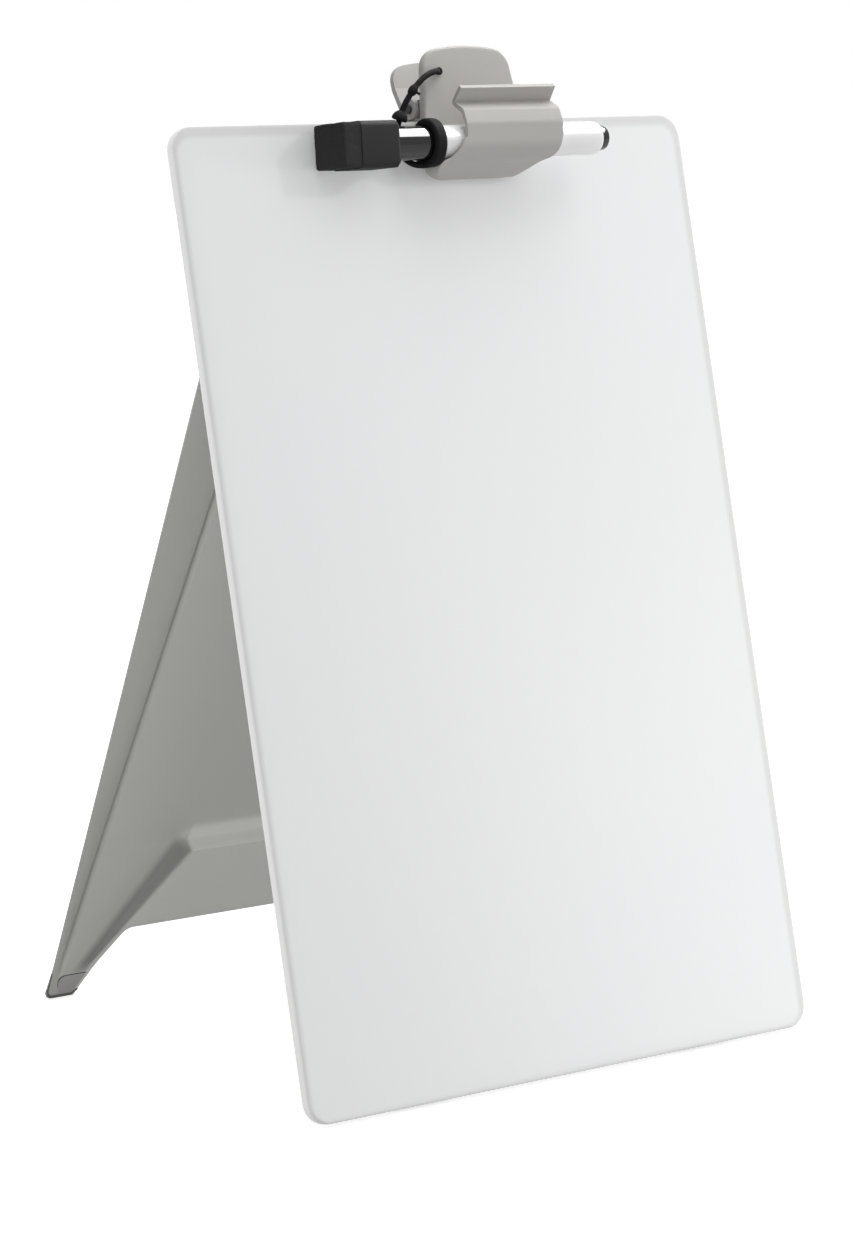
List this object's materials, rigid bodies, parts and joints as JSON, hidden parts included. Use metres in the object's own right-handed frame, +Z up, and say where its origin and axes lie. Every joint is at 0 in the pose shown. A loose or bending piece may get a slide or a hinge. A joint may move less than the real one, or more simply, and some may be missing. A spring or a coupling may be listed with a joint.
{
  "type": "desk whiteboard easel",
  "caption": "Glass whiteboard on a folding rear leg, with a sprung paper clip that holds a marker by its channel and strap.",
  "frame": {"origin": "on the desk, at the middle of the standing easel's footprint", "axes": "+X to the right of someone who faces the board, +Y from the board towards the leg, +Z up"},
  "size_m": [0.22, 0.1956, 0.3566],
  "materials": {
    "writing_glass": "white back-painted toughened glass, polished edge",
    "backing_steel": "satin light grey coating",
    "foam_tape": "matte foam",
    "leg_grey_plastic": "fine satin mould texture",
    "clip_grey_plastic": "satin",
    "pin_steel": "turned",
    "clip_pin_steel": "blackened",
    "spring_steel": "drawn wire",
    "buffer_rubber": "matte",
    "foot_rubber": "matte dark grey",
    "grip_rubber": "matte",
    "strap_rubber": "semi matte",
    "marker_white_plastic": "gloss",
    "marker_black_plastic": "gloss",
    "nib_felt": "compressed felt",
    "wick_fibre": "bonded fibre",
    "seal_plastic": "soft",
    "eraser_felt": "needled felt"
  },
  "bodies": {
    "board": {"glass_panel": "writing_glass", "steel_backing_sheet": "backing_steel", "bracket_tape": "foam_tape", "hinge_bracket": "leg_grey_plastic", "hinge_pin": "pin_steel", "stop_buffers": "buffer_rubber", "board_feet": "foot_rubber", "clip_rear_plate": "clip_grey_plastic", "clip_rear_pad": "grip_rubber", "clip_pin": "clip_pin_steel", "clip_spring": "spring_steel"},
    "leg": {"leg_panel": "leg_grey_plastic", "leg_foot_left": "foot_rubber", "leg_foot_right": "foot_rubber"},
    "clip_front": {"clip_front_plate": "clip_grey_plastic", "clip_jaw_pad": "grip_rubber", "tether": "strap_rubber", "tether_anchor": "strap_rubber", "tether_bead_upper": "strap_rubber", "tether_bead_lower": "strap_rubber", "tether_ring": "strap_rubber"},
    "marker": {"marker_barrel": "marker_white_plastic", "marker_end_plug": "marker_black_plastic", "marker_section": "marker_black_plastic", "marker_nib": "nib_felt", "ink_reservoir": "wick_fibre"},
    "cap": {"cap_shell": "marker_black_plastic", "cap_seal": "seal_plastic", "eraser_felt": "eraser_felt"}
  },
  "joints": [
    {"name": "leg_fold", "type": "hinge", "parent": "board", "child": "leg", "pos_m": [0, -0.00173, 0.30845], "axis": [1, 0, 0], "range_deg": [-32.3, 0]},
    {"name": "clip_open", "type": "hinge", "parent": "board", "child": "clip_front", "pos_m": [0.0135, -0.00817, 0.33451], "axis": [-1, 0, 0], "range_deg": [0, 18], "stiffness_Nm_per_rad": 0.2, "springref_deg": -28.65, "deforming": ["clip_spring"]},
    {"name": "marker_slide", "type": "slide", "parent": "clip_front", "child": "marker", "axis": [-1, 0, 0], "range_m": [0, 0.072]},
    {"name": "cap_pull", "type": "slide", "parent": "marker", "child": "cap", "axis": [-1, 0, 0], "range_m": [0, 0.03]}
  ]
}
